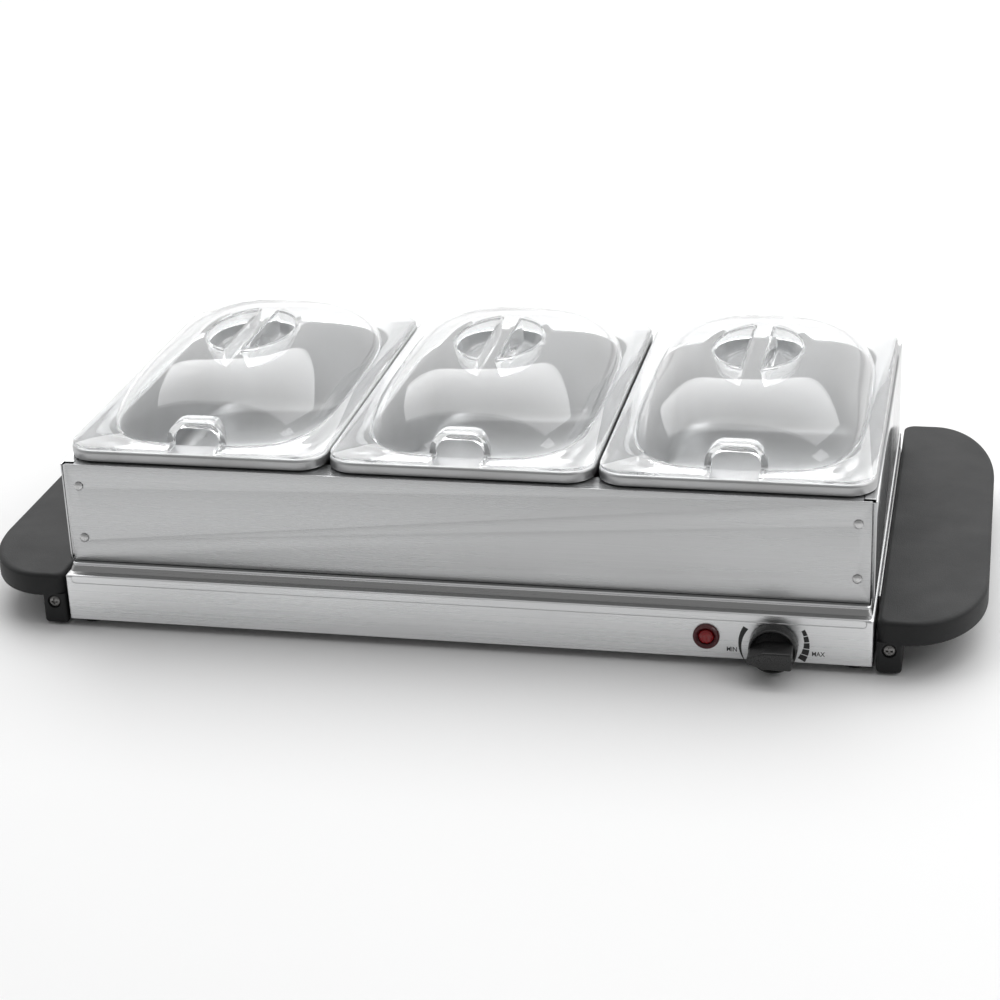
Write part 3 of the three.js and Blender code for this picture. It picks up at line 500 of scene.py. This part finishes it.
def handle_mesh():
    top = HANDLE_HIGH[2]
    edge = 3.4
    rings = [plate_ring(1.6 * (1 - sin(radians(a))), HANDLE_UNDER + 1.6 * (1 - cos(radians(a))))
             for a in (0, 30, 60, 90)]
    rings += [plate_ring(edge * (1 - cos(radians(a))), top - edge * (1 - sin(radians(a))) * 0.85)
              for a in range(0, 91, 10)]
    plate = loft("handle", rings)
    x0 = HANDLE_LOW[0]
    leg_y = (HANDLE_LOW[1], HANDLE_HIGH[1] - LEG_DEPTH)
    hollow = loft("hollow", [plate_ring(HANDLE_WALL, HANDLE_UNDER - 1), plate_ring(HANDLE_WALL, top - 4.7),
                             plate_ring(HANDLE_WALL + 1.5, top - 3.2)])
    keep = [block("rib", x0, HANDLE_HIGH[0], y - 1.25, y + 1.25, HANDLE_UNDER - 2, top) for y in RIBS]
    keep += [block("leg_top", x0, x0 + LEG_WIDTH + 1.5, y - 1.5, y + LEG_DEPTH + 1.5, HANDLE_UNDER - 2, top)
             for y in leg_y]
    cut(hollow, *keep)
    cut(plate, hollow)
    legs = []
    for y in leg_y:
        middle = (x0 + LEG_WIDTH / 2, y + LEG_DEPTH / 2)
        legs.append(loft("leg", [
            rounded_ring(*middle, LEG_WIDTH / 2 - inset, LEG_DEPTH / 2 - inset, 2.2, z, 5)
            for inset, z in ((1.9, 1.6), (0.9, 2.0), (0.3, 2.9), (0, 4.2), (0, 24))]))
    fuse(plate, *legs)
    inner = (x0 + LEG_WALL, x0 + LEG_WIDTH - LEG_WALL)
    floor = HANDLE_LOW[2] + LEG_WALL
    screw = (x0 + LEG_WIDTH / 2, 17.8)
    front, rear = HANDLE_LOW[1], HANDLE_HIGH[1]
    cut(plate,
        block("in", *inner, leg_y[0] + LEG_WALL, leg_y[0] + LEG_DEPTH + 1, floor, HANDLE_UNDER),
        block("in", *inner, leg_y[1] - 1, rear - LEG_WALL, floor, HANDLE_UNDER),
        turned("seat", [(5.2, front - 1), (4.65, front + 0.6), (4.65, front + 1.9)], screw),
        turned("seat", [(4.65, rear - 1.9), (4.65, rear - 0.6), (5.2, rear + 1)], screw),
        turned("shank", [(2.3, front - 1), (2.3, front + 6)], screw, 20),
        turned("shank", [(2.3, rear - 6), (2.3, rear + 1)], screw, 20))
    return plate


def make_handles():
    right = handle_mesh()
    left = right.copy()
    left.data = right.data.copy()
    left.data.transform(Matrix.Scale(-1, 4, (1, 0, 0)))
    left.data.flip_normals()
    bpy.context.scene.collection.objects.link(left)
    for piece, side in ((right, "right"), (left, "left")):
        piece.name = f"handle_{side}_fine"
        settle(piece, "base", HANDLE_BLACK, [f"handle_{side}"], 35)


def screw_head(name, radius, depth, shank, length, centre, y, way):
    """A pan-head screw with a cross recess; way is -1 where it faces the front."""
    profile = [(0, 0), (radius * 0.35, 0.05), (radius * 0.62, 0.22), (radius * 0.84, depth * 0.36),
               (radius * 0.97, depth * 0.68), (radius, depth), (shank, depth), (shank, length), (0, length)]
    piece = turned(name, [(r, y - way * t) for r, t in profile], centre, 32)
    arm = radius * 0.6
    x, z = centre

    def slot_cutter(half_x, half_z):
        ends = ((1.0, y + way), (0.98, y - way * 0.2), (0.6, y - way * 1.35))
        return loft("recess", [[(x - half_x * k, t, z - half_z * k), (x + half_x * k, t, z - half_z * k),
                                (x + half_x * k, t, z + half_z * k), (x - half_x * k, t, z + half_z * k)]
                               for k, t in ends])

    return cut(piece, slot_cutter(arm, 0.7), slot_cutter(0.7, arm))


def make_fasteners():
    for side, sign in SIDES:
        for end, way in (("front", -1), ("rear", 1)):
            node = f"handle_screw_{side}_{end}"
            low, high = span_mm(node)
            centre = ((low[0] + high[0]) / 2, (low[2] + high[2]) / 2)
            face = low[1] if way < 0 else high[1]
            piece = screw_head(node + "_fine", 4.15, 1.6, 2.0, 13, centre, face, way)
            settle(piece, "base", STEEL_SCREW, [node], 30)
    for node in sorted(n for n in NODES if n.startswith("rivet_")):
        low, high = span_mm(node)
        centre = ((low[0] + high[0]) / 2, (low[2] + high[2]) / 2)
        way = -1 if "front" in node else 1
        tip = low[1] if way < 0 else high[1]
        profile = [(0, 0), (0.9, 0.02), (1.0, 0.16), (1.7, 0.24), (2.4, 0.5), (2.95, 0.95), (3.15, 1.5),
                   (1.6, 1.5), (1.6, 4.4), (2.4, 4.6), (2.5, 5.6), (2.2, 6.4), (0, 6.6)]
        piece = turned(node + "_fine", [(r, tip - way * t) for r, t in profile], centre, 32)
        settle(piece, "pan_frame", STEEL_RIVET, [node], 30)


# ---- pan frame -----------------------------------------------------------------------------------
def make_frame():
    for node in ("frame_front", "frame_rear"):
        refined(node, "pan_frame", STEEL_LONG, 0.42, 3)
    for node in ("frame_side_left", "frame_side_right"):
        refined(node, "pan_frame", STEEL_SIDE, 0.42, 3)


# ---- pans ----------------------------------------------------------------------------------------
MOUTH = (75.5, 128.0, 40.0)
PAN_DRAFT, PAN_FILLET = 5.0, 11.0
RIM_RADIUS = 19.0


def pan_body(wall, top, lip):
    """The pan's wall surface grown outward by wall; lip flares the mouth into the rim."""
    base = PAN_LOW[2] + SHEET - wall
    rim_top = PAN_HIGH[2]
    depth = rim_top - PAN_LOW[2]
    fillet = PAN_FILLET + wall

    def ring(inset, z):
        return rounded_ring(0, FRAME_MID_Y, *(m + wall - inset for m in MOUTH), z, 12)

    rings = []
    for degrees in range(0, 91, 10):
        angle = radians(degrees)
        z = base + fillet * (1 - cos(angle))
        lean = PAN_DRAFT * (rim_top - base - fillet) / depth
        rings.append(ring(lean + fillet * (1 - sin(angle)), z))
    if lip:
        rings += [ring(-lip * (1 - cos(radians(a))), rim_top - lip + lip * sin(radians(a)))
                  for a in range(0, 91, 15)]
        rings.append(ring(-lip, top))
    else:
        rings.append(ring(0, top))
    return loft("pan", rings)


def rim_skin(inset):
    half_x, half_y = (PAN_HIGH[0] - PAN_LOW[0]) / 2, (PAN_HIGH[1] - PAN_LOW[1]) / 2
    roll = 2.4 - inset * 0.8
    curl = 1.4
    low, top = FRAME_HIGH[2] + 0.3, PAN_HIGH[2] - inset

    def ring(shrink, z):
        s = inset + shrink
        return rounded_ring(0, FRAME_MID_Y, half_x - s, half_y - s, RIM_RADIUS - s, z, 12)

    rings = [ring(curl, low - 2)] if inset else []
    rings += [ring(curl * (1 - sin(radians(a))), low + curl * (1 - cos(radians(a))))
              for a in range(0, 91, 18)]
    rings += [ring(roll * (1 - cos(radians(a))), top - roll * (1 - sin(radians(a))))
              for a in range(0, 91, 15)]
    return loft("rim", rings)


def make_pans():
    pan = rim_skin(0)
    cut(pan, rim_skin(SHEET))
    fuse(pan, pan_body(SHEET, PAN_HIGH[2] - 0.15, 0))
    cut(pan, pan_body(0, PAN_HIGH[2] + 2, 1.6))
    for place, column in PLACES:
        piece = pan if place == "left" else bpy.data.objects.new("pan", pan.data)
        piece.name = f"pan_{place}_fine"
        if place != "left":
            bpy.context.scene.collection.objects.link(piece)
        piece.location.x = column * PITCH * MM
        settle(piece, f"pan_{place}", STEEL_PAN, [f"pan_{place}"], 30)


# ---- lids ----------------------------------------------------------------------------------------
LID_WALL = 2.0
LID_TOP = LID_LOW[2] + LID_WALL
DOME_HALF_X, DOME_HALF_Y, DOME_RISE = 78.8, 130.5, 36.1
DOME_LEAN_X, DOME_LEAN_Y = 45.2, 76.2  # how far the sides lean in from the foot to the crown
DOME_SOFTNESS = 1.4
DOME_SQUARE = (3.75, 2.0)  # power of the outline at the foot and at the crown
DOME_MID_Y = FRAME_MID_Y - 1
DISH_HALF_X, DISH_HALF_Y, DISH_Y, DISH_DEPTH = 30.5, 44.0, FRAME_MID_Y + 2.5, 15.0
GRIP_HALF = 7.5
NOTCH_HALF, NOTCH_TOP, NOTCH_CORNER, NOTCH_RIB = 16.2, 139.0, 9.5, 4.5


def dome_block(inset):
    square, rounder = DOME_SQUARE

    def ring(lean, z):
        return squircle_ring(0, DOME_MID_Y, DOME_HALF_X - inset - DOME_LEAN_X * lean,
                             DOME_HALF_Y - inset - DOME_LEAN_Y * lean,
                             square + (rounder - square) * min(lean, 1), z)

    rings = [ring(0, LID_LOW[2] - (3 if inset else 0))]
    rings += [ring(1 - cos(radians(a)), LID_TOP + (DOME_RISE - inset) * sin(radians(a)) ** DOME_SOFTNESS)
              for a in (0, 4, 9, 15, 21, 28, 35, 42, 50, 58, 66, 74, 82, 90)]
    rings += [ring(lean, LID_TOP + DOME_RISE + rise - inset)
              for lean, rise in ((1.15, 0.5), (1.4, 0.8), (1.62, 0.9))]
    return loft("dome", rings)


def dish_void(grow):
    top = LID_TOP + DOME_RISE
    floor = top - DISH_DEPTH - grow

    def oval(shrink, z):
        return squircle_ring(0, DISH_Y, DISH_HALF_X - shrink + grow, DISH_HALF_Y - shrink + grow, 2, z, 72)

    steps = [(9.5, floor), (7.6, floor + 0.25), (5.4, floor + 1.2), (3.8, floor + 2.8), (2.9, floor + 4.8)]
    bowl = loft("bowl", [oval(*s) for s in steps] + [oval(0.1, top - 1), oval(-1, top + 6)])

    def bar(z):
        half = GRIP_HALF - grow + 0.18 * (top - z)
        reach = DISH_HALF_Y + 9
        return [(-half, DISH_Y - reach, z), (half, DISH_Y - reach, z),
                (half, DISH_Y + reach, z), (-half, DISH_Y + reach, z)]

    return cut(bowl, loft("bar", [bar(floor - 2), bar(top + 8)]))


def arch_block(grow, y0, y1, z0):
    half, top, corner = NOTCH_HALF + grow, NOTCH_TOP + grow, NOTCH_CORNER + grow
    outline = [(-half, z0), (half, z0)]
    for side, start in ((1, 0), (-1, 90)):
        outline += [(side * (half - corner) + corner * cos(radians(start + a)),
                     top - corner + corner * sin(radians(start + a))) for a in range(0, 91, 9)]
    return loft("arch", [[(x, y, z) for x, z in outline] for y in (y0, y1)])


def make_lids():
    half_x, half_y = (LID_HIGH[0] - LID_LOW[0]) / 2, (LID_HIGH[1] - LID_LOW[1]) / 2
    under = LID_LOW[2]
    flange = loft("flange", [
        rounded_ring(0, FRAME_MID_Y, half_x - s, half_y - s, RIM_RADIUS - 0.7 - s, z, 12)
        for s, z in ((0.6, under), (0.15, under + 0.2), (0, under + 0.7),
                     (0, LID_TOP - 0.7), (0.2, LID_TOP - 0.2), (0.7, LID_TOP))])
    front = FRAME_MID_Y - half_y
    dome_front = DOME_MID_Y - DOME_HALF_Y
    lip = NOTCH_HALF + 2.4
    solid = cut(dome_block(0), dish_void(0))
    fuse(solid, flange, arch_block(NOTCH_RIB, dome_front - 1, dome_front + 12, under),
         block("lips", -lip, lip, front + 0.15, dome_front, under, LID_TOP + 1.4))
    cut(solid, cut(dome_block(LID_WALL), dish_void(LID_WALL)),
        arch_block(0, front - 5, dome_front + 22, under - 3))
    bevel(solid, 0.7, 3, 38)
    for place, column in PLACES:
        piece = solid if place == "left" else bpy.data.objects.new("lid", solid.data)
        piece.name = f"lid_{place}_fine"
        if place != "left":
            bpy.context.scene.collection.objects.link(piece)
        piece.location.x = column * PITCH * MM
        settle(piece, f"lid_{place}", CLEAR, [f"lid_{place}"], 38)


# ---- knob, lamp and dial marks -------------------------------------------------------------------
KNOB_RADIUS, KNOB_SKIRT, KNOB_RECESS = 16.0, 10.6, 3.6
GRIP = {"half_height": 6.2, "square_end": 13.8, "point": 15.4, "corner": 1.3}
NUT_ROOM, SHAFT_BORE = 10.5, 3.3  # radii of the hollow behind the knob and of the bore in its grip


def grip_outline(y, shrink):
    """Across the grip: square at one end, sloped to a blunt point at the other."""
    high, square, tip = GRIP["half_height"] - shrink, GRIP["square_end"] - shrink, shrink - GRIP["point"]
    corner = GRIP["corner"]
    ring = [(square - corner + corner * cos(radians(a)), high - corner + corner * sin(radians(a)))
            for a in (0, 30, 60, 90)]
    ring += [(-4.4, high), (-5.3, high - 0.2), (-6.2, high - 0.65)]
    ring += [(tip + 1.9, 2.5), (tip + 0.8, 1.75), (tip + 0.2, 0.9), (tip, 0)]
    ring += [(x, -z) for x, z in reversed(ring[:-1])]
    return [(KNOB_X + x, y, KNOB_Z + z) for x, z in ring]


def make_knob():
    back, front = KNOB_HIGH[1], KNOB_LOW[1]
    lip = back - KNOB_SKIRT
    face = lip + KNOB_RECESS
    inward = [(0.2, 1.2), (0.4, 0.5), (0.8, 0.1), (1.2, 0), (1.6, 0.15), (2.0, 0.7), (2.6, 2.2), (3.6, 3.3)]
    skirt = turned("control_knob_fine", [
        (0, back), (KNOB_RADIUS - 0.3, back), (KNOB_RADIUS, back - 0.4),
        *((KNOB_RADIUS - step, lip + down) for step, down in inward),
        (KNOB_RADIUS - 5, face), (0, face)], (KNOB_X, KNOB_Z), 72)
    grip = loft("grip", [
        grip_outline(y, shrink)
        for y, shrink in ((face + 1.4, 0), (front + 1.5, 0), (front + 0.9, 0.15), (front + 0.4, 0.45),
                          (front + 0.1, 0.9), (front, 1.5))])
    fuse(skirt, grip)
    cut(skirt,
        turned("hollow", [(NUT_ROOM, back - 4), (NUT_ROOM, back + 2)], (KNOB_X, KNOB_Z)),
        turned("bore", [(SHAFT_BORE, front + 4.2), (SHAFT_BORE, back + 1)], (KNOB_X, KNOB_Z)))
    bevel(skirt, 0.45, 3, 40)
    settle(skirt, "knob", KNOB_BLACK, ["control_knob"], 35)


def make_lamp():
    back, front = LAMP_HIGH[1], LAMP_LOW[1]
    panel = SHELL_LOW[1] - 0.3
    bezel = turned("lamp_bezel_fine", [
        (5.6, back), (7.0, back), (7.0, panel), (8.8, panel), (8.8, panel - 1.0), (8.6, panel - 1.5),
        (8.1, front + 0.15), (7.6, front), (7.0, front), (6.5, front + 0.3),
        (6.1, front + 1.0), (5.6, front + 1.3)], LAMP, 56, closed=True)
    settle(bezel, "base", BEZEL, ["lamp_bezel"], 30)
    tip = span_mm("lamp_lens")[0][1]
    lens = turned("lamp_lens_fine", [
        (0, tip), (1.3, tip + 0.08), (2.5, tip + 0.32), (3.6, tip + 0.75), (4.5, tip + 1.35),
        (5.1, tip + 2.1), (5.3, tip + 2.8), (5.3, back), (0, back)], LAMP, 48)
    settle(lens, "base", LENS, ["lamp_lens"], 30)


def printed(name, outlines):
    """Ink on the panel: flat outlines in (x, z), a hair proud of the steel."""
    verts, faces = [], []
    near, far = SHELL_LOW[1] - 0.05, SHELL_LOW[1] + 0.02
    for outline in outlines:
        count, start = len(outline), len(verts)
        verts += [(x, near, z) for x, z in outline] + [(x, far, z) for x, z in outline]
        middle, end = start + count, start + 2 * count
        faces += [tuple(range(start, middle)), tuple(reversed(range(middle, end)))]
        faces += [(start + k, start + (k + 1) % count, start + count + (k + 1) % count, start + count + k)
                  for k in range(count)]
    return settle(add_object(name, verts, faces), "base", INK)


DIAL_RADIUS = 23.2  # outer edge of the bands round the knob
WORD_DROP, WORD_HEIGHT = 5.4, 3.2


def arc_band(start, end, inner_start, inner_end, steps=10):
    """A band round the dial from start to end degrees, its inner edge moving between two radii."""
    angles = [radians(start + (end - start) * i / steps) for i in range(steps + 1)]
    inner = [inner_start + (inner_end - inner_start) * i / steps for i in range(steps + 1)]
    edge = [(KNOB_X + DIAL_RADIUS * cos(a), KNOB_Z + DIAL_RADIUS * sin(a)) for a in angles]
    return edge + [(KNOB_X + r * cos(a), KNOB_Z + r * sin(a)) for a, r in reversed(list(zip(angles, inner)))]


def lettering(name, text, x):
    data = bpy.data.curves.new(name, "FONT")
    data.body = text
    data.size = WORD_HEIGHT / 0.7 * MM  # a capital is 0.7 of the font size
    data.align_x = "CENTER"
    data.align_y = "CENTER"
    data.extrude = 0.00003
    data.offset = 0.00006
    piece = bpy.data.objects.new(name, data)
    bpy.context.scene.collection.objects.link(piece)
    mesh = bpy.data.meshes.new_from_object(piece.evaluated_get(bpy.context.evaluated_depsgraph_get()))
    bpy.data.objects.remove(piece)
    piece = bpy.data.objects.new(name, mesh)
    bpy.context.scene.collection.objects.link(piece)
    spot = Matrix.Translation((x * MM, (SHELL_LOW[1] - 0.03) * MM, (KNOB_Z - WORD_DROP) * MM))
    mesh.transform(spot @ Matrix.Rotation(pi / 2, 4, "X") @ Matrix.Scale(0.86, 4, (1, 0, 0)))
    return settle(piece, "base", INK)


def make_dial():
    printed("dial_low_band", [arc_band(149, 212, 19.4, 22.6)])
    segments = []
    start, end, count = 31, -31, 5
    step = (end - start) / count
    for i in range(count):
        a = start + step * i
        segments.append(arc_band(a, a + step * 0.88, 20.7 - i * 0.62, 20.4 - i * 0.62))
    printed("dial_high_band", segments)
    lettering("dial_word_min", "MIN", KNOB_X - 27.4)
    lettering("dial_word_max", "MAX", KNOB_X + 28.8)


# ---- carried-over CAD nodes ----------------------------------------------------------------------
def dress_cad():
    dress = {
        "heat_reflector": ALUMINIUM, "thermal_fuse": ALUMINIUM, "heating_element": SHEATH,
        "element_strap_left": STEEL_PLAIN, "element_strap_right": STEEL_PLAIN, "terminal_block": CREAM,
        "thermostat_body": CREAM, "lamp_body": CREAM, "thermostat_nut": BRASS,
        "thermostat_shaft": STEEL_PLAIN, "cord_gland": KNOB_BLACK,
    }
    for node in NODES:
        if node.startswith("rubber_foot"):
            dress[node] = RUBBER
        if node.startswith("foot_screw"):
            dress[node] = STEEL_SCREW
    for node, material in dress.items():
        mesh = NODES[node].data
        mesh.materials.clear()
        mesh.materials.append(material)


make_base()
make_handles()
make_fasteners()
make_frame()
make_pans()
make_lids()
make_knob()
make_lamp()
make_dial()
dress_cad()


# ---- studio --------------------------------------------------------------------------------------
def make_floor():
    reach = 9000
    corners = [(-reach, -reach, 0), (reach, -reach, 0), (reach, reach, 0), (-reach, reach, 0)]
    floor = add_object("studio_floor", corners, [(0, 1, 2, 3)])
    look = Look("studio_floor", IOR=1.4)
    look.set("Base Color", look.mix(look.noise(2.0), grey(0.86), grey(0.88)))
    look.set("Roughness", look.span(look.noise(3.0), 0.5, 0.58))
    floor.data.materials.append(look.material)


def area_light(name, place, target, width, depth, power):
    data = bpy.data.lights.new(name, "AREA")
    data.shape = "RECTANGLE"
    data.size, data.size_y = width, depth
    data.energy = power
    light = bpy.data.objects.new(name, data)
    bpy.context.scene.collection.objects.link(light)
    light.location = place
    light.rotation_euler = (Vector(target) - Vector(place)).to_track_quat("-Z", "Y").to_euler()


def make_world():
    """White to the camera; for the light it is bright behind the server and grey on the camera's side."""
    world = bpy.data.worlds.new("studio")
    bpy.context.scene.world = world
    world.use_nodes = True
    nodes, links = world.node_tree.nodes, world.node_tree.links
    place = nodes.new("ShaderNodeTexCoord")
    split = nodes.new("ShaderNodeSeparateXYZ")
    links.new(place.outputs["Generated"], split.inputs[0])
    ramp = nodes.new("ShaderNodeMapRange")
    ramp.interpolation_type = "SMOOTHSTEP"
    for name, number in (("From Min", -0.9), ("From Max", 0.75), ("To Min", 0.3), ("To Max", 1.05)):
        ramp.inputs[name].default_value = number
    links.new(split.outputs["Y"], ramp.inputs["Value"])
    links.new(ramp.outputs[0], nodes["Background"].inputs["Color"])
    white = nodes.new("ShaderNodeBackground")
    white.inputs["Color"].default_value = (1, 1, 1, 1)
    path = nodes.new("ShaderNodeLightPath")
    dim = nodes.new("ShaderNodeMapRange")
    dim.inputs["To Min"].default_value = 1.0
    dim.inputs["To Max"].default_value = 0.75
    links.new(path.outputs["Is Diffuse Ray"], dim.inputs["Value"])
    links.new(dim.outputs[0], nodes["Background"].inputs["Strength"])
    choose = nodes.new("ShaderNodeMixShader")
    links.new(path.outputs["Is Camera Ray"], choose.inputs[0])
    links.new(nodes["Background"].outputs[0], choose.inputs[1])
    links.new(white.outputs[0], choose.inputs[2])
    links.new(choose.outputs[0], nodes["World Output"].inputs["Surface"])


make_floor()
make_world()
area_light("top_softbox", (0.1, 1.4, 2.3), (0, 0, 0.1), 4.4, 2.6, 76)
area_light("key_right", (2.0, -0.4, 1.6), (0, 0, 0.1), 0.9, 0.9, 7)

scene = bpy.context.scene
scene.view_settings.view_transform = "Standard"
scene.view_settings.look = "None"
scene.cycles.max_bounces = 24
scene.cycles.transmission_bounces = 24
scene.cycles.glossy_bounces = 12
scene.cycles.transparent_max_bounces = 16
